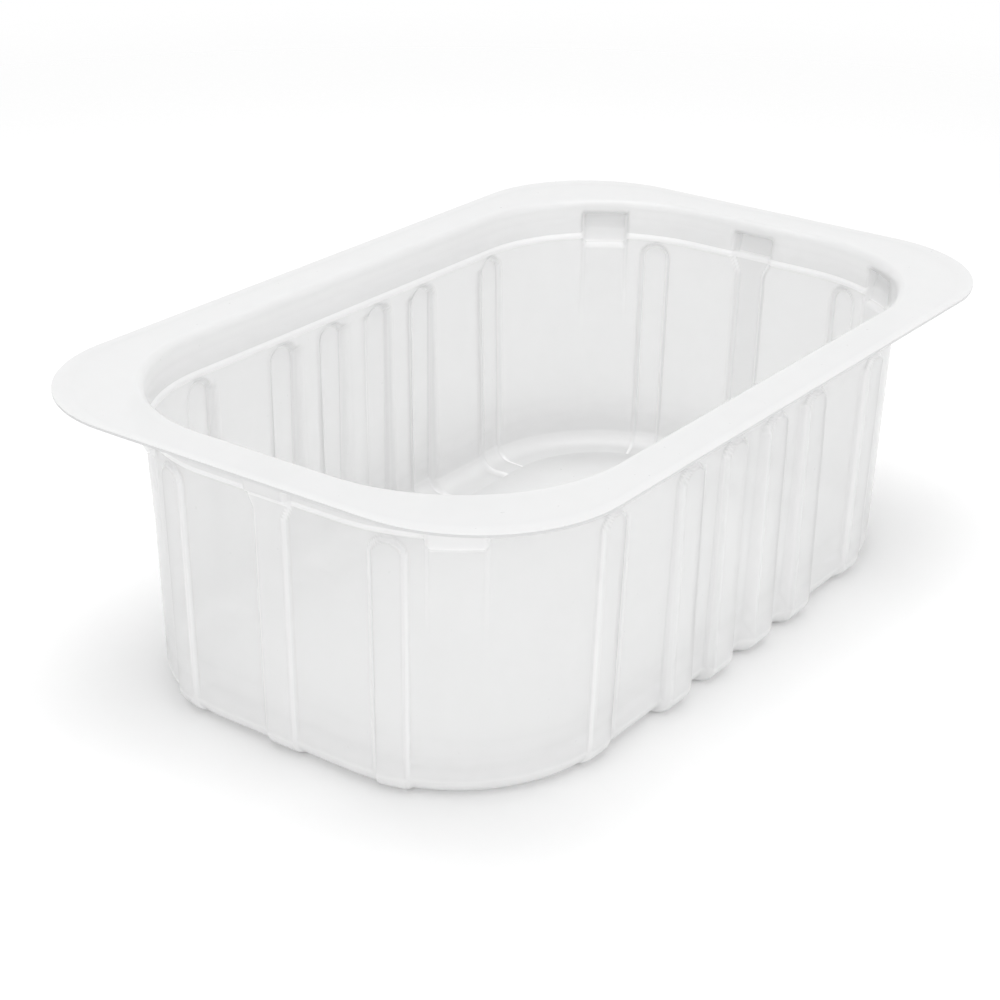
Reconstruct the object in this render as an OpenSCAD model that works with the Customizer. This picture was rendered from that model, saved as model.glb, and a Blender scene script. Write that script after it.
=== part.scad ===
// Thermoformed plastic tray: one thin sheet drawn down into a deep box with a flat rim.
// The tray stands on z = 0, its length runs along x, and its middle is on the z axis.
// The sheet is a single skin. It is swept as level rings of points: up the inside of the
// walls from the base to the rim, over the rim's cut edge, and down the outside again.

/* [Rim] */
// Length over the rim
rim_l = 190; // [160:1:230]
// Width over the rim
rim_w = 122; // [108:1:160]
// Corner radius of the rim's cut edge
rim_r = 30; // [18:1:42]
// Width of the flat rim along the sides, out to the cut edge
rim_band = 9; // [6:0.5:13]
// Radius of the top face where the rim turns down into the neck
rim_bend = 1.8; // [1:0.1:2]

/* [Body] */
// Height from the table to the top of the rim
height = 62; // [45:1:90]
// Corner radius of the mouth, where the flat rim ends
mouth_r = 36.5; // [28:0.5:42]
// Thickness of the formed sheet
sheet = 0.5; // [0.3:0.05:0.8]
// Inward slope of each wall, in degrees from upright
draft = 1.8; // [0:0.2:5]

/* [Neck and ledge] */
// Depth of the upright neck, from the rim's top face down to the ledge
neck_h = 8.6; // [8.6:0.2:14]
// How far the ledge steps the wall in
ledge_w = 0.5; // [0.4:0.1:2]
// Height over which the ledge steps in
ledge_h = 0.6; // [0.4:0.1:1.2]

/* [Foot and base] */
// Radius between the walls and the base
foot_r = 4.2; // [3:0.2:8]
// Width of the flat ring that the tray stands on
foot_band = 4; // [2:0.5:8]
// Height of the raised panel inside that ring
base_lift = 1.2; // [0.6:0.1:3]

/* [Flutes] */
// Width of the slanted flank of a flute
flank = 1.4; // [0.8:0.1:1.8]
// Distance from the ledge down to the top end of a flute
flute_gap = 0.6; // [0.4:0.1:2]
// Height of the round top end of a flute
flute_arch = 4; // [2.5:0.5:8]
// Width of a flute at the very top of its round end
flute_tip = 2.4; // [2.2:0.1:4]
// Pairs of wide flutes about the middle of each long side
wide_pairs = 2; // [1:1:2]
// Width of a wide flute
wide_w = 7.9; // [5:0.1:9]
// Distance from one wide flute to the next
wide_pitch = 15.8; // [12:0.1:18]
// How far a wide flute stands out at its upper end
wide_top = 1.2; // [0.6:0.1:1.8]
// How far a wide flute stands out at the foot
wide_foot = 2.4; // [1:0.1:3]
// Width of the single flutes in the short sides and at the corners
single_w = 7; // [4:0.1:9]
// How far a single flute stands out
single_out = 0.9; // [0.4:0.1:1.4]
// Distance of the single flute on a long side from the side's middle
single_long = 49.5; // [46:0.5:52]
// Distance of the single flute near a corner from the middle of the short side
single_short = 26; // [18:0.5:27]

/* [Stacking lugs] */
// Distance of a corner lug from the middle of the short side, along the wall
lug_at = 39; // [37:0.5:44]
// Width of a corner lug
lug_w = 11; // [6:0.5:13]
// How far a lug stands out from the neck at its upper end
lug_out = 2.6; // [1.8:0.1:3]
// How much further in the lower end of a lug is than its upper end
lug_lean = 1.6; // [0.4:0.1:1.8]
// Height of a lug above the ledge
lug_up = 5; // [2:0.2:5.4]
// Height over which the roof of a lug slopes back to the neck
lug_roof = 1; // [0.6:0.1:1.2]
// Depth of a corner lug below the ledge
lug_down = 1.6; // [1.2:0.2:4]
// Height over which the underside of a corner lug runs back into the wall
lug_taper = 1.2; // [0.8:0.1:2.5]
// How far the faint pillar under a corner lug stands out from the wall
pillar_out = 0.4; // [0.1:0.1:0.8]

/* [Hidden] */

// Longest step between two points around a corner, and steps around each bend
step = 3.8;
rim_steps = 2;
arch_steps = 3;
foot_steps = 4;

// Plan of the mouth: half lengths of its straight sides, the length of a corner's arc,
// and the way along the wall from the middle of a short side to the middle of a long side
mouth_l = rim_l - 2 * rim_band;
mouth_w = rim_w - 2 * rim_band;
straight_x = mouth_l / 2 - mouth_r;
straight_y = mouth_w / 2 - mouth_r;
arc = mouth_r * PI / 2;
quarter = straight_y + arc + straight_x;

// Heights and offsets of the section. An offset is counted outwards from the mouth's plan
// to the outer face of the sheet.
ledge_z = height - neck_h;
neck_out = sheet - rim_bend;
wall_out = neck_out - ledge_w;
foot_out = wall_out - tan(draft) * (ledge_z - foot_r);
ring_out = foot_out - foot_r;
arch_z = ledge_z - flute_gap;
lug_top = ledge_z + lug_up;
lug_low = ledge_z - lug_down;

// Outer face of a lug, which leans in towards its lower end
function lug_face(z) = neck_out + lug_out - lug_lean * (lug_top - z) / (lug_top - lug_low);

// Where a face bends into a slope that runs w sideways over a length h, the other face of
// the sheet bends this much further on, which keeps the sheet as thick in the slope
function shift(w, h) = sheet * tan(atan(w / h) / 2);
roof_shift = shift(lug_out, lug_roof);
ledge_shift = shift(ledge_w, ledge_h);
middle_shift = shift(lug_face(ledge_z + ledge_h) - wall_out - single_out, ledge_h);
under_shift = shift(lug_face(lug_low) - wall_out - pillar_out, lug_taper);
arch_turn = 90 / arch_steps;
arch_shift = shift(wide_top * sin(arch_turn), flute_arch * (1 - cos(arch_turn)));

// Kinds of raised feature on a wall, and which lug a point of a ring belongs to
WIDE = 0;
SINGLE = 1;
LUG = 2;
NONE = 0;
CORNER = 1;
MIDDLE = 2;

// The lug in the middle of a short side ends on the flute that carries on below it, so its
// crest is as wide as that flute's foot
middle = [0, single_w + 2 * flank, LUG];

// Features met on the way from there to the middle of a long side, each as its place along
// the wall, its width and its kind
features = concat(
    [[single_short, single_w, SINGLE],
     [lug_at, lug_w, LUG],
     [quarter - single_long, single_w, SINGLE]],
    [for (i = [wide_pairs - 1:-1:0]) [quarter - (i + 0.5) * wide_pitch, wide_w, WIDE]]
);

// Angle around a corner at a way u along the wall
function turn(u) = (u - straight_y) / mouth_r * 180 / PI;

// Point of the mouth's plan at a way u along the wall, moved outwards by out
function at(u, out) =
    u < straight_y ? [mouth_l / 2 + out, u]
    : u < straight_y + arc
        ? [straight_x + (mouth_r + out) * cos(turn(u)), straight_y + (mouth_r + out) * sin(turn(u))]
    : [quarter - u, mouth_w / 2 + out];

// Point of the rim's cut edge that faces the mouth's point at u
function edge_at(u) =
    let (ex = rim_l / 2 - rim_r, ey = rim_w / 2 - rim_r)
    u < straight_y ? [rim_l / 2, u / straight_y * ey]
    : u < straight_y + arc ? [ex + rim_r * cos(turn(u)), ey + rim_r * sin(turn(u))]
    : [(quarter - u) / straight_x * ex, rim_w / 2];

// A level of the skin: its offset and height on plain wall, on a corner lug and on a middle
// lug, the depths of a wide and a single flute, open and side. open goes from 0 at the tip
// of a flute to 1 where it has its full width, which closes its top end to an arch. side is
// 0 on the outer face of the sheet and 1 on the inner face.
function level(side, plain, corner = [], middle = [], wide = 0, single = 0, open = 1) =
    [plain, corner == [] ? plain : corner, middle == [] ? plain : middle,
     wide, single, open, side];

// Stations around a quarter of the wall at a level v, each as [u, wide share, single share,
// lug]. A feature has four: the foot and the crest of each flank. It is narrower on the
// inner face, by the shift of its flanks.
function depth(f, v) = f[2] == WIDE ? v[3] : f[2] == SINGLE ? v[4] : v[1][0] - v[0][0];
function slim(d, v) = v[6] * shift(d, flank);
function half(f, v) =
    (f[2] == LUG ? f[1] : flute_tip + (f[1] - flute_tip) * v[5]) / 2 - slim(depth(f, v), v);
function crest(f) = [f[2] == WIDE ? 1 : 0, f[2] == SINGLE ? 1 : 0, f[2] == LUG ? CORNER : NONE];
function rising(f, v) =
    [[f[0] - half(f, v) - flank / 2, 0, 0, NONE],
     [f[0] - half(f, v) + flank / 2, each crest(f)]];
function falling(f, v) =
    [[f[0] + half(f, v) - flank / 2, each crest(f)],
     [f[0] + half(f, v) + flank / 2, 0, 0, NONE]];
function start_of(f) = f[0] - f[1] / 2 - flank / 2;
function end_of(f) = f[0] + f[1] / 2 + flank / 2;
function between(a, b) =
    let (n = max(1, ceil((b - a) / step)))
    [for (k = [1:1:n - 1]) [a + (b - a) * k / n, 0, 0, NONE]];
function stations(v) =
    let (
        all = concat([middle], features),
        in = slim(v[2][0] - v[0][0] + v[4], v)
    )
    concat(
        [[0, 0, 1, MIDDLE],
         [(single_w - flank) / 2 - in, 0, 1, MIDDLE],
         [(single_w + flank) / 2 - in, 0, 0, MIDDLE],
         [end_of(middle) - in, 0, 0, NONE]],
        [for (i = [1:len(all) - 1]) each concat(
            between(end_of(all[i - 1]), start_of(all[i])),
            rising(all[i], v),
            falling(all[i], v)
        )],
        [[quarter, 0, 0, NONE]]
    );

// Quarter of a ring, then the whole ring by its mirror images
function place(s, v) =
    let (base = v[s[3]], p = at(s[0], base[0] + s[1] * v[3] + s[2] * v[4]))
    [p[0], p[1], base[1]];
function mirrored(q) =
    let (n = len(q))
    concat(
        q,
        [for (i = [n - 2:-1:0]) [-q[i][0], q[i][1], q[i][2]]],
        [for (i = [1:n - 1]) [-q[i][0], -q[i][1], q[i][2]]],
        [for (i = [n - 2:-1:1]) [q[i][0], -q[i][1], q[i][2]]]
    );
function ring(v) = mirrored([for (s = stations(v)) place(s, v)]);
function edge_ring(z) =
    mirrored([for (s = stations(level(0, [0, z]))) let (p = edge_at(s[0])) [p[0], p[1], z]]);

// Offset of the plain wall and depth of a wide flute, from the ledge down to the foot
function wall_at(z) = foot_out + (wall_out - foot_out) * (z - foot_r) / (ledge_z - foot_r);
function wide_at(z) = wide_foot + (wide_top - wide_foot) * (z - foot_r) / (arch_z - foot_r);

// Neck and ledge with the lugs
function neck_levels(side) =
    let (
        in = sheet * side,
        roof = roof_shift * side,
        bend_z = ledge_z + ledge_h,
        step_in = ledge_shift * side,
        middle_in = middle_shift * side,
        upper = [lug_face(lug_top) - in, lug_top - roof]
    )
    [
        level(side, [neck_out - in, lug_top + lug_roof - roof]),
        level(side, [neck_out - in, lug_top - roof], upper, upper),
        level(side,
              [neck_out - in, bend_z + step_in],
              [lug_face(bend_z) - in, bend_z],
              [lug_face(bend_z) - in, bend_z + middle_in]),
        level(side,
              [wall_out - in, ledge_z + step_in],
              [lug_face(lug_low) - in, lug_low + under_shift * side],
              [wall_out + single_out - in, ledge_z + middle_in])
    ];

// Round top ends of the flutes, which follow a quarter of an ellipse. Beside them the corner
// lugs run out into their pillars and the middle lugs into the flutes below.
function arch_levels(side) =
    [for (i = [0:arch_steps])
        let (
            a = arch_turn * i,
            in = sheet * side,
            drop = flute_arch * (1 - cos(a)),
            z = arch_z - drop - arch_shift * side * (1 - sin(a)),
            lug_z = lug_low - lug_taper + under_shift * side - drop
        )
        level(side,
              [wall_at(z) - in, z],
              [wall_at(lug_z) - in + pillar_out, lug_z],
              [wall_at(z) - in + single_out * (1 - sin(a)), z],
              sin(a) * wide_at(z), sin(a) * single_out, sin(a))];

// Foot, an arc from the wall to the ring that the tray stands on
function foot_levels(side) =
    [for (i = [0:foot_steps])
        let (
            a = 90 * i / foot_steps,
            r = foot_r - sheet * side,
            p = [ring_out + r * cos(a), foot_r - r * sin(a)]
        )
        level(side, p, p, p, wide_foot, single_out)];

// Ring that the tray stands on, and the edge of the raised panel, which slopes at 45 degrees
function base_levels(side) =
    let (back = shift(1, 1) * side, z = sheet * side)
    [level(side, [ring_out - foot_band + back, z]),
     level(side, [ring_out - foot_band - base_lift + back, base_lift + z])];

// Bend under the rim. The two faces of the sheet turn about the same line.
function rim_levels(side) =
    let (in = sheet * side, r = rim_bend - sheet + in)
    [for (i = [0:rim_steps])
        let (a = 90 * i / rim_steps)
        level(side, [neck_out - in + r * (1 - sin(a)), height - rim_bend + r * cos(a)])];

// One face of the sheet, from the rim down to the middle of the base
function face_levels(side) =
    concat(rim_levels(side), neck_levels(side), arch_levels(side),
           foot_levels(side), base_levels(side));

// Closed skin through rings of equal length, with a fan over each end
module skin(rings, first, last) {
    n = len(rings[0]);
    m = len(rings);
    points = concat([for (r = rings) each r], [first, last]);
    sides = [for (j = [0:m - 2], i = [0:n - 1])
        let (k = (i + 1) % n)
        [j * n + i, j * n + k, (j + 1) * n + k, (j + 1) * n + i]];
    start = [for (i = [0:n - 1]) [m * n, (i + 1) % n, i]];
    end = [for (i = [0:n - 1]) [m * n + 1, (m - 1) * n + i, (m - 1) * n + (i + 1) % n]];
    polyhedron(points = points, faces = concat(sides, start, end), convexity = 8);
}

// The whole tray, from the middle of the base up the inside and down the outside
module tray() {
    inside = face_levels(1);
    rings = concat(
        [for (i = [len(inside) - 1:-1:0]) ring(inside[i])],
        [edge_ring(height), edge_ring(height - sheet)],
        [for (v = face_levels(0)) ring(v)]
    );
    color([0.93, 0.94, 0.94, 0.45])
        skin(rings, [0, 0, base_lift + sheet], [0, 0, base_lift]);
}

tray();
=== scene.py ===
# %% [markdown]
# # A formed plastic tray
# The object is a deep tray of thin, milky plastic. A flat sheet was warmed and drawn down into
# a mould, so everything on it is one skin: a flat rim, a short neck, a ledge, fluted walls and
# a foot. This lesson builds that skin as one surface, gives it a thickness, and then works on
# how a milky sheet takes the light.

import math

import bpy
from mathutils import Matrix, Vector


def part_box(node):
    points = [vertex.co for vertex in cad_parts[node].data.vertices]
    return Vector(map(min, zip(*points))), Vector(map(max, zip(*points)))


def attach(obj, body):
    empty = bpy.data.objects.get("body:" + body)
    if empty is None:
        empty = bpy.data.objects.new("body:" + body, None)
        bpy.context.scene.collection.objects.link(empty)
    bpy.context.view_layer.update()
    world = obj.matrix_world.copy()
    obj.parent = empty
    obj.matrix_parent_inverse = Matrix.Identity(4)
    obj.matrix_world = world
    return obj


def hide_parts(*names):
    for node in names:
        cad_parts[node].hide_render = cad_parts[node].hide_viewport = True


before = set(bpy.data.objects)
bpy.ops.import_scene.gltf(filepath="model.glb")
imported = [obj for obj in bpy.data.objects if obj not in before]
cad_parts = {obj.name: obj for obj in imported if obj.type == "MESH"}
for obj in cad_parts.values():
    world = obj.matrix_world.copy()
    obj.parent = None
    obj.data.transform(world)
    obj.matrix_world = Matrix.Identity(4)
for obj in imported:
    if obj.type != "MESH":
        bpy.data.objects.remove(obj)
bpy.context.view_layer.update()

# %% [markdown]
# ## The driving sizes
# The overall size is read from the frame, so the skin can't drift away from the solid. The
# smaller sizes are what a mould maker would write on a drawing of the section. All of them are
# in metres, because that is what the frame uses.

# %% Sizes of the rim and the mouth
MM = 0.001
low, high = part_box("tray")
LENGTH = high.x - low.x
WIDTH = high.y - low.y
HEIGHT = high.z - low.z
SHEET = 0.5 * MM
RIM_RADIUS = 30 * MM
RIM_BAND = 9 * MM
RIM_BEND = 1.8 * MM
MOUTH_RADIUS = 36.5 * MM
print(f"tray {LENGTH / MM:.1f} x {WIDTH / MM:.1f} x {HEIGHT / MM:.1f} mm")

# %% Sizes of the neck, the walls and the foot
NECK_HEIGHT = 8.6 * MM
LEDGE_WIDTH = 0.5 * MM
LEDGE_HEIGHT = 0.6 * MM
DRAFT = math.radians(1.8)
FOOT_RADIUS = 4.2 * MM
FOOT_BAND = 4 * MM
BASE_LIFT = 1.2 * MM

# %% Sizes of the flutes and the stacking lugs
FLANK = 1.4 * MM
FLUTE_GAP = 0.6 * MM
FLUTE_ARCH = 4 * MM
WIDE_FLUTE = 7.9 * MM
WIDE_PITCH = 15.8 * MM
WIDE_PAIRS = 2
WIDE_TOP = 1.2 * MM
WIDE_FOOT = 2.4 * MM
SINGLE_FLUTE = 7 * MM
SINGLE_OUT = 0.9 * MM
SINGLE_ON_LONG_SIDE = 49.5 * MM
SINGLE_ON_SHORT_SIDE = 26 * MM
LUG_PLACE = 39 * MM
LUG_WIDTH = 11 * MM
LUG_OUT = 2.6 * MM
LUG_LEAN = 1.6 * MM
LUG_UP = 5 * MM
LUG_ROOF = 1 * MM
LUG_DOWN = 1.6 * MM
LUG_TAPER = 1.2 * MM
PILLAR_OUT = 0.4 * MM

# %% [markdown]
# ## The way around the mouth
# Every point of the skin is found from two numbers: how far along the wall it lies, and how far
# down the section. Seen from above, the mouth is a rectangle with round corners. One quarter of
# it is enough, because the tray is the same on both sides of its length and of its width.

# %% Plan of the mouth and of the rim
straight_x = LENGTH / 2 - RIM_BAND - MOUTH_RADIUS
straight_y = WIDTH / 2 - RIM_BAND - MOUTH_RADIUS
corner_arc = MOUTH_RADIUS * math.pi / 2
quarter = straight_y + corner_arc + straight_x


def turn(u):
    """Angle around the corner at a way u along the wall, from 0 to a quarter turn."""
    return min(max((u - straight_y) / MOUTH_RADIUS, 0), math.pi / 2)


def mouth_point(u, out):
    """Point of the mouth's plan, moved outwards by out."""
    reach = MOUTH_RADIUS + out
    x = straight_x - max(u - straight_y - corner_arc, 0) + reach * math.cos(turn(u))
    y = min(u, straight_y) + reach * math.sin(turn(u))
    return Vector((x, y))


def rim_point(u):
    """Point of the rim's cut edge that faces the mouth's point at u."""
    edge_x = LENGTH / 2 - RIM_RADIUS
    edge_y = WIDTH / 2 - RIM_RADIUS
    x = edge_x * min((quarter - u) / straight_x, 1) + RIM_RADIUS * math.cos(turn(u))
    y = edge_y * min(u / straight_y, 1) + RIM_RADIUS * math.sin(turn(u))
    return Vector((x, y))


print(f"a quarter of the way round is {quarter / MM:.1f} mm")

# %% [markdown]
# ## Flutes and lugs
# The flutes stiffen the thin walls, as the folds stiffen corrugated card. Each one is a bump
# with a flat crest, slanted flanks and a round upper end. The lugs above them hold stacked
# trays apart. A share from 0 to 1 says how much of a bump a point takes. It goes through a
# smooth step, so a flank is rounded at its foot and at its crest, as drawn plastic is.

# %% Where the features are
LEDGE_Z = HEIGHT - NECK_HEIGHT
ARCH_Z = LEDGE_Z - FLUTE_GAP
LUG_TOP = LEDGE_Z + LUG_UP
LUG_LOW = LEDGE_Z - LUG_DOWN
MIDDLE_LUG = SINGLE_FLUTE + 2 * FLANK
single_places = [SINGLE_ON_SHORT_SIDE, quarter - SINGLE_ON_LONG_SIDE]
wide_places = [quarter - (i + 0.5) * WIDE_PITCH for i in range(WIDE_PAIRS)]
print(len(single_places), "single and", len(wide_places), "wide flutes start in each quarter")


def smooth(t):
    """Smooth step from 0 to 1."""
    t = min(max(t, 0), 1)
    return t * t * (3 - 2 * t)


def flute_share(u, z, places, width):
    """Share of the nearest flute of a kind. Its upper end is half an ellipse."""
    across = min(abs(u - place) for place in places)
    above = max(z - ARCH_Z + FLUTE_ARCH, 0) * width / 2 / (FLUTE_ARCH - FLANK / 2)
    return smooth((width / 2 - math.hypot(across, above)) / FLANK + 0.5)


def bump_share(u, place, width):
    """Share of a bump of constant width."""
    return smooth((width / 2 - abs(u - place)) / FLANK + 0.5)


# %% [markdown]
# ## The section
# A section is a list of rows from the rim's cut edge down to the middle of the base. A row
# holds a point of the plain wall, one of the corner lug and one of the middle lug, each as an
# offset and a height. It also says how far the flutes stand out there, and how hazy the
# plastic is. Plastic whitens where it is bent and stretched, so bends are hazier than flats.
# The same value paints highlights too: the bright lines on the ledge, the flanks and the low
# wall stand in for light on those bends, and are not only whitening.
# The haze and highlight is stored on the mesh for the material to read, and so is a second
# value, which says where the sheet was drawn down. It is 0 on the flat rim, which keeps its
# first thickness, and the material uses it to paint shade on the rim.

# %% Offsets that the section needs
NECK_OUT = SHEET - RIM_BEND
WALL_OUT = NECK_OUT - LEDGE_WIDTH
FOOT_OUT = WALL_OUT - math.tan(DRAFT) * (LEDGE_Z - FOOT_RADIUS)
RING_OUT = FOOT_OUT - FOOT_RADIUS
EDGE_HAZE = 1.0
RIM_HAZE = 0.75
NECK_HAZE = 0.05
# Full haze on bends, which also paints a highlight line on the ledge and the foot's bend.
BEND_HAZE_AND_HIGHLIGHT = 1.0
WALL_HAZE = 0.0
BASE_HAZE = 0.2
RIM_BEND_STEPS = 6
FOOT_BEND_STEPS = 9
FOOT_BAND_STEPS = 4
BASE_LIFT_STEPS = 5


def row(plain, haze_and_highlight, corner=None, middle=None, wide=0.0, single=0.0, middle_width=MIDDLE_LUG):
    """One row of the section. Points that are left out lie on the plain wall."""
    return {"plain": plain, "corner": corner or plain, "middle": middle or plain,
            "wide": wide, "single": single, "middle_width": middle_width, "haze_and_highlight": haze_and_highlight}


def steps(count):
    """Shares from 0 to 1 in that many steps."""
    return [i / count for i in range(count + 1)]


def blend(a, b, t):
    """Point between two points of the section."""
    return (a[0] + (b[0] - a[0]) * t, a[1] + (b[1] - a[1]) * t)


def rounded(before, corner, after, reach):
    """Three points that round off a corner, from reach before it to reach after it."""
    start = blend(corner, before, reach / math.dist(corner, before))
    end = blend(corner, after, reach / math.dist(corner, after))
    return [start, blend(blend(start, end, 0.5), corner, 0.5), end]


def wall_out(z):
    """Offset of the plain wall at a height z."""
    return FOOT_OUT + (WALL_OUT - FOOT_OUT) * (z - FOOT_RADIUS) / (LEDGE_Z - FOOT_RADIUS)


def wide_out(z):
    """How far a wide flute stands out at a height z."""
    return WIDE_FOOT + (WIDE_TOP - WIDE_FOOT) * (z - FOOT_RADIUS) / (ARCH_Z - FOOT_RADIUS)


def lug_face(z):
    """Outer face of a lug, which leans in towards its lower end."""
    return NECK_OUT + LUG_OUT - LUG_LEAN * (LUG_TOP - z) / (LUG_TOP - LUG_LOW)


# %% Rows of the neck and the ledge
ROUNDING = 0.3 * MM
neck_top = (NECK_OUT, LUG_TOP + LUG_ROOF)
lug_shoulder = (lug_face(LUG_TOP), LUG_TOP)
lug_chin = (lug_face(LUG_LOW), LUG_LOW)
lug_end = (wall_out(LUG_LOW - LUG_TAPER) + PILLAR_OUT, LUG_LOW - LUG_TAPER)
ledge_edge = (NECK_OUT, LEDGE_Z + LEDGE_HEIGHT)
ledge_root = (WALL_OUT, LEDGE_Z)
middle_chin = (lug_face(ledge_edge[1]), ledge_edge[1])
middle_end = (WALL_OUT + SINGLE_OUT, LEDGE_Z)


def rim_bend_rows():
    """The quarter turn from the flat rim down into the neck."""
    bend = RIM_BEND - SHEET
    rows = []
    for t in steps(RIM_BEND_STEPS):
        a = t * math.pi / 2
        point = (NECK_OUT + bend * (1 - math.sin(a)), HEIGHT - RIM_BEND + bend * math.cos(a))
        rows.append(row(point, RIM_HAZE + (NECK_HAZE - RIM_HAZE) * smooth(t)))
    return rows


def neck_rows():
    """From the top of the lugs down to the ledge. The lugs' faces take the same rows."""
    shoulder = rounded(neck_top, lug_shoulder, lug_chin, ROUNDING)
    neck_end = (NECK_OUT, shoulder[-1][1])
    rows = [row(neck_top, NECK_HAZE)]
    for t, point in zip((0.4, 0.7, 1), shoulder):
        rows.append(row(blend(neck_top, neck_end, t), NECK_HAZE, point, point))
    below = (WALL_OUT, LEDGE_Z - LEDGE_HEIGHT)
    plain = (rounded(neck_top, ledge_edge, ledge_root, ROUNDING)
             + rounded(ledge_edge, ledge_root, below, ROUNDING))
    middle = (rounded(lug_shoulder, middle_chin, middle_end, ROUNDING)
              + rounded(middle_chin, middle_end, (middle_end[0], below[1]), ROUNDING))
    chin = rounded(lug_shoulder, lug_chin, lug_end, ROUNDING)
    corner = [blend(shoulder[-1], chin[0], t) for t in (0.3, 0.6, 0.9)] + chin
    for i, points in enumerate(zip(plain, corner, middle)):
        # The ledge takes the full bend haze: a painted highlight line as well as whitening.
        haze_and_highlight = BEND_HAZE_AND_HIGHLIGHT if i > 0 else (NECK_HAZE + BEND_HAZE_AND_HIGHLIGHT) / 2
        rows.append(row(points[0], haze_and_highlight, points[1], points[2]))
    return rows


# %% Rows of the walls
ROW_GAP = 0.34 * MM
LOW_WALL_ROWS = 10
# How high the painted highlight and haze reach up from the foot.
FOOT_HAZE_AND_HIGHLIGHT_REACH = 12 * MM


def corner_wall(z):
    """Offset of the wall under a corner lug: the lug's underside, then its pillar."""
    fade = smooth((z - HEIGHT / 2) / (LUG_LOW - HEIGHT / 2))
    taper = min(max((z - lug_end[1]) / LUG_TAPER, 0), 1)
    pillar = wall_out(z) + PILLAR_OUT * fade
    return pillar + (lug_chin[0] - pillar) * taper


def wall_rows():
    """From under the ledge down to the foot, closer together where the flutes end."""
    top = LEDGE_Z - LEDGE_HEIGHT
    arch_end = ARCH_Z - FLUTE_ARCH - FLANK
    lug_start = LUG_LOW - ROUNDING
    arch_count = round((top - arch_end) / ROW_GAP)
    rows = []
    for t in steps(arch_count):
        z = top + (arch_end - top) * t
        lug_z = lug_start + (arch_end - lug_start) * t
        narrow = smooth((LEDGE_Z - z) / FLUTE_ARCH)
        rows.append(row((wall_out(z), z), WALL_HAZE, (corner_wall(lug_z), lug_z),
                        (wall_out(z) + SINGLE_OUT, z), wide_out(z), SINGLE_OUT,
                        MIDDLE_LUG + (SINGLE_FLUTE - MIDDLE_LUG) * narrow))
    for t in steps(LOW_WALL_ROWS)[1:]:
        z = arch_end + (FOOT_RADIUS - arch_end) * t
        out = wall_out(z)
        # Haze rising towards the foot, which also paints a highlight on the low wall.
        haze_and_highlight = WALL_HAZE + (BEND_HAZE_AND_HIGHLIGHT - WALL_HAZE) * smooth((FOOT_HAZE_AND_HIGHLIGHT_REACH - z) / FOOT_HAZE_AND_HIGHLIGHT_REACH)
        rows.append(row((out, z), haze_and_highlight, (corner_wall(z), z), (out + SINGLE_OUT, z),
                        wide_out(z), SINGLE_OUT, SINGLE_FLUTE))
    return rows


# %% Rows of the foot and the base
def foot_rows():
    """From the foot's bend in to the raised panel."""
    rows = []
    for t in steps(FOOT_BEND_STEPS)[1:]:
        a = t * math.pi / 2
        out, z = RING_OUT + FOOT_RADIUS * math.cos(a), FOOT_RADIUS * (1 - math.sin(a))
        # The foot's bend fades from a painted highlight line into the base's haze.
        haze_and_highlight = BEND_HAZE_AND_HIGHLIGHT + (BASE_HAZE - BEND_HAZE_AND_HIGHLIGHT) * smooth(t)
        rows.append(row((out, z), haze_and_highlight, (out, z), (out + SINGLE_OUT, z), WIDE_FOOT, SINGLE_OUT,
                        SINGLE_FLUTE))
    for t in steps(FOOT_BAND_STEPS)[1:]:
        out = RING_OUT - t * FOOT_BAND
        rest = 1 - smooth(t)
        rows.append(row((out, 0), BASE_HAZE, (out, 0), (out + SINGLE_OUT * rest, 0),
                        WIDE_FOOT * rest, SINGLE_OUT * rest, SINGLE_FLUTE))
    for t in steps(BASE_LIFT_STEPS)[1:]:
        rows.append(row((RING_OUT - FOOT_BAND - t * BASE_LIFT, BASE_LIFT * smooth(t)), BASE_HAZE))
    return rows


section = rim_bend_rows() + neck_rows() + wall_rows() + foot_rows()
print(len(section), "rows from the mouth to the base panel")

# %% [markdown]
# ## The columns
# Columns are closest together on the flanks of the flutes and lugs, where the skin bends, and
# far apart on plain wall. That keeps the mesh light without losing the shape of a flank.

# %% Place the columns and mirror them
FLANK_STEP = 0.34 * MM
CREST_STEP = 0.5 * MM
PLAIN_STEP = 2.2 * MM
bumps = [(place, SINGLE_FLUTE) for place in single_places]
bumps += [(place, WIDE_FLUTE) for place in wide_places]
bumps += [(LUG_PLACE, LUG_WIDTH), (0, (SINGLE_FLUTE + MIDDLE_LUG) / 2)]


def column_step(u):
    """Distance to the next column: small on a flank, larger on a crest or on plain wall."""
    place, width = min(bumps, key=lambda bump: abs(abs(u - bump[0]) - bump[1] / 2))
    if abs(abs(u - place) - width / 2) < FLANK:
        return FLANK_STEP
    return CREST_STEP if abs(u - place) < width / 2 else PLAIN_STEP


def column_places():
    """Ways along the wall of one quarter's columns, from 0 to the whole quarter."""
    places = [0.0]
    while places[-1] < quarter:
        flank_is_near = column_step(places[-1] + CREST_STEP) == FLANK_STEP
        longest = CREST_STEP if flank_is_near else PLAIN_STEP
        places.append(places[-1] + min(column_step(places[-1]), longest))
    stretch = quarter / places[-1]
    return [u * stretch for u in places]


places = column_places()
ends = places[1:-1]
columns = [(u, 1, 1) for u in places]
columns += [(u, -1, 1) for u in reversed(places[:-1])]
columns += [(u, -1, -1) for u in places[1:]]
columns += [(u, 1, -1) for u in reversed(ends)]
print(len(columns), "columns all the way round")

# %% [markdown]
# ## The skin
# The mesh is the underside of the sheet, from the cut edge of the rim in to the middle of the
# base. A Solidify modifier then gives it the thickness of the sheet and closes the cut edge. A
# mould maker works the same way: one face is set by the mould, and the sheet does the rest.

# %% Build the surface
RIM_STEPS = 4
PANEL_SHARES = [0.7, 0.35]
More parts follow.
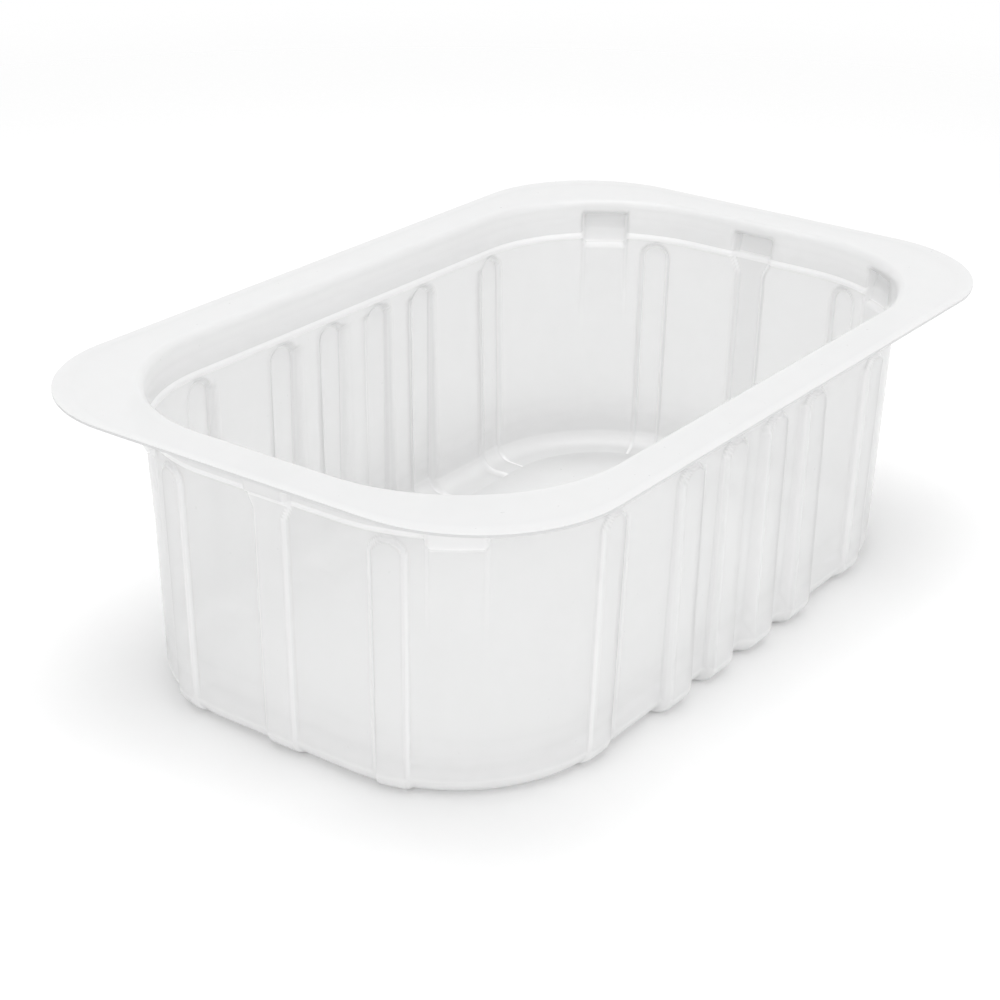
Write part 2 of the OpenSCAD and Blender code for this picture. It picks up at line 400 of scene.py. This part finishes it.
# Flanks get bright lines: painted highlights on top of their haze.
FLANK_HAZE_AND_HIGHLIGHT = 1.0
LUG_HAZE = 0.5


def flank_haze_and_highlight(share):
    """Haze and painted highlight of a flank, strongest over the middle half of it."""
    return FLANK_HAZE_AND_HIGHLIGHT * min(6 * share * (1 - share), 1)


def skin_point(u, r):
    """Offset, height and haze with painted highlight where a column meets a row."""
    out, z = r["plain"]
    wide = flute_share(u, z, wide_places, WIDE_FLUTE) if r["wide"] > 0 else 0
    single = flute_share(u, z, single_places, SINGLE_FLUTE) if r["single"] > 0 else 0
    corner = bump_share(u, LUG_PLACE, LUG_WIDTH)
    middle = bump_share(u, 0, r["middle_width"])
    # Flute and lug flanks add painted highlight lines to the row's haze.
    haze_and_highlight = max(r["haze_and_highlight"], flank_haze_and_highlight(wide), flank_haze_and_highlight(single))
    for share, lug in ((corner, r["corner"]), (middle, r["middle"])):
        lift = min(abs(lug[0] - out) / SINGLE_OUT, 1)
        haze_and_highlight = max(haze_and_highlight, flank_haze_and_highlight(share) * lift, LUG_HAZE * share * lift)
        out, z = blend((out, z), lug, share)
    return out + wide * r["wide"] + single * r["single"], z, haze_and_highlight


def skin_points():
    """All points, row by row, with the haze and painted highlight of each."""
    points, haze_and_highlight = [], []
    for t in steps(RIM_STEPS)[:-1]:
        for u, sx, sy in columns:
            p = rim_point(u).lerp(mouth_point(u, 0), t)
            points.append((p.x * sx, p.y * sy, HEIGHT - SHEET))
            haze_and_highlight.append(EDGE_HAZE if t == 0 else RIM_HAZE)
    for r in section:
        quarter_points = {u: skin_point(u, r) for u in places}
        for u, sx, sy in columns:
            # The third value is the haze of the point with its painted highlight.
            out, z, bend = quarter_points[u]
            p = mouth_point(u, out)
            points.append((p.x * sx, p.y * sy, z))
            haze_and_highlight.append(bend)
    last = points[-len(columns):]
    for share in PANEL_SHARES:
        points += [(x * share, y * share, BASE_LIFT) for x, y, _ in last]
        haze_and_highlight += [BASE_HAZE] * len(columns)
    points.append((0, 0, BASE_LIFT))
    haze_and_highlight.append(BASE_HAZE)
    return points, haze_and_highlight


def skin_faces(point_count):
    """Quads between the rows, and a fan of triangles in the middle of the base."""
    n = len(columns)
    row_count = (point_count - 1) // n
    faces = []
    for j in range(row_count - 1):
        for i in range(n):
            k = (i + 1) % n
            faces.append((j * n + i, (j + 1) * n + i, (j + 1) * n + k, j * n + k))
    start = (row_count - 1) * n
    faces += [(start + i, point_count - 1, start + (i + 1) % n) for i in range(n)]
    return faces


points, haze_and_highlight_values = skin_points()
skin = bpy.data.meshes.new("tray_skin")
skin.from_pydata(points, [], skin_faces(len(points)))
# The haze layer holds whitening and painted highlight lines together.
haze_and_highlight_layer = skin.attributes.new("haze_and_highlight", "FLOAT", "POINT")
haze_and_highlight_layer.data.foreach_set("value", haze_and_highlight_values)
# 0 on the flat rim and 1 below its bend; the material paints shade on the rim with it.
drawn_values = [smooth((HEIGHT - SHEET - z) / RIM_BEND) for x, y, z in points]
drawn_layer = skin.attributes.new("drawn", "FLOAT", "POINT")
drawn_layer.data.foreach_set("value", drawn_values)
print(len(points), "points,", len(skin.polygons), "faces in the surface")

# %% Give the sheet its thickness
SHARP_ANGLE = math.radians(75)
tray = bpy.data.objects.new("formed_tray", skin)
bpy.context.scene.collection.objects.link(tray)
thickness = tray.modifiers.new("sheet", "SOLIDIFY")
thickness.thickness = SHEET
thickness.offset = -1
thickness.use_even_offset = False
bpy.context.view_layer.update()
evaluated = tray.evaluated_get(bpy.context.evaluated_depsgraph_get())
thick = bpy.data.meshes.new_from_object(evaluated)
tray.modifiers.clear()
tray.data = thick
thick.name = "formed_tray"
for polygon in thick.polygons:
    polygon.use_smooth = True
thick.set_sharp_from_angle(angle=SHARP_ANGLE)
zs = [v.co.z for v in thick.vertices]
print(f"sheet from z {min(zs) / MM:.2f} to {max(zs) / MM:.2f} mm, {len(thick.polygons)} faces")

print("triangles:", sum(len(polygon.vertices) - 2 for polygon in thick.polygons))
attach(tray, "root")
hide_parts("tray")

# %% [markdown]
# ## Milky plastic
# The plastic is clearer in its flat stretches and milkier in its bends. The material is one
# Principled shader. Its alpha and its tint come from the haze and highlight on the mesh, with a
# slow noise over it, because a drawn sheet is never even. The hazy tint is near white, so the
# bright lines on the bends and flanks are painted highlights as well as haze. The rim, which
# wasn't drawn, gets a greyer tint and the walls lighter ones: painted shade on the rim's flat
# top, which takes more of the overhead light, and painted light on the walls' sides. A finer
# noise moves the roughness and lifts the surface a little, which breaks up the gloss.

# %% Make the plastic
ALPHA_CLEAR = 0.5
ALPHA_HAZY = 0.88
CLEAR_TINT = (0.93, 0.932, 0.932, 1)
# Near white, so the hazy bends and flanks render as painted highlights.
HAZY_HIGHLIGHT_TINT = (0.985, 0.985, 0.985, 1)
# Greyer than the walls: painted shade for the stronger overhead light on the rim's flat top.
RIM_PAINTED_SHADE_TINT = (0.8, 0.802, 0.803, 1)
REFRACTION = 1.49
CLOUD_SCALE = 45
CLOUD_DETAIL = 3
CLOUD_HAZE = 0.12
GRAIN_SCALE = 900
GRAIN_DETAIL = 2
SMOOTHEST = 0.24
ROUGHEST = 0.38
BUMP_STRENGTH = 0.08
BUMP_DISTANCE = 0.1 * MM


def add(nodes, kind, **values):
    """A node of that kind, with its properties set."""
    node = nodes.new(kind)
    for name, value in values.items():
        setattr(node, name, value)
    return node


def make_milky_plastic():
    material = bpy.data.materials.new("milky_plastic")
    material.use_nodes = True
    nodes, links = material.node_tree.nodes, material.node_tree.links
    shader = nodes["Principled BSDF"]
    shader.inputs["IOR"].default_value = REFRACTION
    where = add(nodes, "ShaderNodeTexCoord")

    # Haze with painted highlight lines, read from the mesh.
    haze_and_highlight = add(nodes, "ShaderNodeAttribute", attribute_name="haze_and_highlight")
    cloud = add(nodes, "ShaderNodeTexNoise")
    cloud.inputs["Scale"].default_value = CLOUD_SCALE
    cloud.inputs["Detail"].default_value = CLOUD_DETAIL
    links.new(where.outputs["Object"], cloud.inputs["Vector"])
    uneven = add(nodes, "ShaderNodeMapRange")
    uneven.inputs["To Min"].default_value = -CLOUD_HAZE
    uneven.inputs["To Max"].default_value = CLOUD_HAZE
    links.new(cloud.outputs["Fac"], uneven.inputs["Value"])
    total = add(nodes, "ShaderNodeMath", operation="ADD")
    links.new(haze_and_highlight.outputs["Fac"], total.inputs[0])
    links.new(uneven.outputs["Result"], total.inputs[1])
    alpha = add(nodes, "ShaderNodeMapRange")
    alpha.inputs["To Min"].default_value = ALPHA_CLEAR
    alpha.inputs["To Max"].default_value = ALPHA_HAZY
    links.new(total.outputs["Value"], alpha.inputs["Value"])
    links.new(alpha.outputs["Result"], shader.inputs["Alpha"])

    drawn = add(nodes, "ShaderNodeAttribute", attribute_name="drawn")
    # Clear tint to near-white hazy tint by the haze: painted highlights on the bends and flanks.
    wall_tint_and_highlight = add(nodes, "ShaderNodeMix", data_type="RGBA")
    wall_tint_and_highlight.inputs["A"].default_value = CLEAR_TINT
    wall_tint_and_highlight.inputs["B"].default_value = HAZY_HIGHLIGHT_TINT
    links.new(total.outputs["Value"], wall_tint_and_highlight.inputs["Factor"])
    # On the rim the greyer rim tint takes over: painted shade for the light on its top.
    tint_with_painted_light = add(nodes, "ShaderNodeMix", data_type="RGBA")
    tint_with_painted_light.inputs["A"].default_value = RIM_PAINTED_SHADE_TINT
    links.new(wall_tint_and_highlight.outputs["Result"], tint_with_painted_light.inputs["B"])
    links.new(drawn.outputs["Fac"], tint_with_painted_light.inputs["Factor"])
    links.new(tint_with_painted_light.outputs["Result"], shader.inputs["Base Color"])

    grain = add(nodes, "ShaderNodeTexNoise")
    grain.inputs["Scale"].default_value = GRAIN_SCALE
    grain.inputs["Detail"].default_value = GRAIN_DETAIL
    links.new(where.outputs["Object"], grain.inputs["Vector"])
    rough = add(nodes, "ShaderNodeMapRange")
    rough.inputs["To Min"].default_value = SMOOTHEST
    rough.inputs["To Max"].default_value = ROUGHEST
    links.new(grain.outputs["Fac"], rough.inputs["Value"])
    links.new(rough.outputs["Result"], shader.inputs["Roughness"])
    lift = add(nodes, "ShaderNodeBump")
    lift.inputs["Strength"].default_value = BUMP_STRENGTH
    lift.inputs["Distance"].default_value = BUMP_DISTANCE
    links.new(grain.outputs["Fac"], lift.inputs["Height"])
    links.new(lift.outputs["Normal"], shader.inputs["Normal"])
    return material


tray.data.materials.clear()
tray.data.materials.append(make_milky_plastic())
print("materials on the tray:", [m.name for m in tray.data.materials])

# %% [markdown]
# ## The floor and the light
# A white sweep shows a pale object best when the light is even and soft, with a large lamp
# overhead for the shadow and a weaker one facing each near wall. The floor is white by its own
# colour, and further out it fades into the white room. The light on it adds up to about 1, so
# the plastic renders close to the colour that it was given.

# %% Floor
FLOOR_REACH = 4.0
FLOOR_DROP = 0.05 * MM
FADE_START = 0.3
FADE_END = 0.6


def make_floor():
    mesh = bpy.data.meshes.new("floor")
    r = FLOOR_REACH
    mesh.from_pydata([(-r, -r, 0), (r, -r, 0), (r, r, 0), (-r, r, 0)], [], [(0, 1, 2, 3)])
    floor = bpy.data.objects.new("floor", mesh)
    floor.location.z = -FLOOR_DROP
    bpy.context.scene.collection.objects.link(floor)
    material = bpy.data.materials.new("white_sweep")
    material.use_nodes = True
    nodes, links = material.node_tree.nodes, material.node_tree.links
    shader = nodes["Principled BSDF"]
    shader.inputs["Base Color"].default_value = (1, 1, 1, 1)
    shader.inputs["Roughness"].default_value = 1
    shader.inputs["Specular IOR Level"].default_value = 0
    where = add(nodes, "ShaderNodeTexCoord")
    distance = add(nodes, "ShaderNodeVectorMath", operation="LENGTH")
    links.new(where.outputs["Object"], distance.inputs[0])
    fade = add(nodes, "ShaderNodeMapRange", interpolation_type="SMOOTHSTEP")
    fade.inputs["From Min"].default_value = FADE_START
    fade.inputs["From Max"].default_value = FADE_END
    fade.inputs["To Min"].default_value = 1
    fade.inputs["To Max"].default_value = 0
    links.new(distance.outputs["Value"], fade.inputs["Value"])
    links.new(fade.outputs["Result"], shader.inputs["Alpha"])
    mesh.materials.append(material)
    return floor


make_floor()

# %% World and lamps
SKY_LEVEL = 0.36
TOP_LAMP = {"size": 1.0, "place": Vector((0.02, 0.04, 1.05)), "power": 9.0}
END_LAMP = {"size": 0.9, "place": Vector((-0.95, -0.05, 0.5)), "power": 2.4}
SIDE_LAMP = {"size": 0.9, "place": Vector((0.05, -0.95, 0.5)), "power": 2.4}


def make_world():
    world = bpy.data.worlds.new("white_room")
    world.use_nodes = True
    nodes, links = world.node_tree.nodes, world.node_tree.links
    background = nodes["Background"]
    background.inputs["Color"].default_value = (1, 1, 1, 1)
    path = add(nodes, "ShaderNodeLightPath")
    seen = add(nodes, "ShaderNodeMath", operation="MAXIMUM")
    links.new(path.outputs["Is Camera Ray"], seen.inputs[0])
    links.new(path.outputs["Is Glossy Ray"], seen.inputs[1])
    through = add(nodes, "ShaderNodeMath", operation="MAXIMUM")
    links.new(seen.outputs["Value"], through.inputs[0])
    links.new(path.outputs["Is Transmission Ray"], through.inputs[1])
    level = add(nodes, "ShaderNodeMapRange")
    level.inputs["To Min"].default_value = SKY_LEVEL
    level.inputs["To Max"].default_value = 1
    links.new(through.outputs["Value"], level.inputs["Value"])
    links.new(level.outputs["Result"], background.inputs["Strength"])
    bpy.context.scene.world = world


def make_lamp(name, size, place, power):
    """A square soft lamp that faces the tray."""
    light = bpy.data.lights.new(name, "AREA")
    light.size = size
    light.energy = power
    lamp = bpy.data.objects.new(name, light)
    lamp.location = place
    lamp.rotation_euler = (-place).to_track_quat("-Z", "Y").to_euler()
    bpy.context.scene.collection.objects.link(lamp)


make_world()
make_lamp("top_lamp", **TOP_LAMP)
make_lamp("end_lamp", **END_LAMP)
make_lamp("side_lamp", **SIDE_LAMP)
powers = [lamp["power"] for lamp in (TOP_LAMP, END_LAMP, SIDE_LAMP)]
print("room level", SKY_LEVEL, "and lamp powers", powers)

# %% [markdown]
# ## The camera
# The camera looks down at the tray from beyond its near corner. It is set by a bearing, a
# height angle and a small roll, and by the point that it looks at. That is easier to check
# against a photograph than three rotation angles are.

# %% Camera
BEARING = math.radians(-54.31)
ELEVATION = math.radians(24.72)
ROLL = math.radians(1.02)
LOOK_AT = Vector((-19.15, -3.4, 30)) * MM
DISTANCE = 446.9 * MM
IMAGE_PIXELS = 1000
FOCAL_PIXELS = 2211.6
SENSOR = 36
NEAR_CLIP = 0.01


def make_camera():
    data = bpy.data.cameras.new("camera")
    data.sensor_width = SENSOR
    data.lens = SENSOR * FOCAL_PIXELS / IMAGE_PIXELS
    data.clip_start = NEAR_CLIP
    camera = bpy.data.objects.new("camera", data)
    forward = Vector((-math.sin(BEARING) * math.cos(ELEVATION),
                      math.cos(BEARING) * math.cos(ELEVATION), -math.sin(ELEVATION)))
    level_right = Vector((math.cos(BEARING), math.sin(BEARING), 0))
    level_up = level_right.cross(forward)
    right = level_right * math.cos(ROLL) + level_up * math.sin(ROLL)
    up = level_up * math.cos(ROLL) - level_right * math.sin(ROLL)
    camera.matrix_world = Matrix.Translation(LOOK_AT - forward * DISTANCE) @ Matrix(
        (right, up, -forward)).transposed().to_4x4()
    bpy.context.scene.collection.objects.link(camera)
    bpy.context.scene.camera = camera
    return camera


camera = make_camera()
bpy.context.scene.view_settings.view_transform = "Standard"
camera_place = tuple(round(c, 3) for c in camera.location)
print("lens", round(camera.data.lens, 2), "mm, camera at", camera_place)
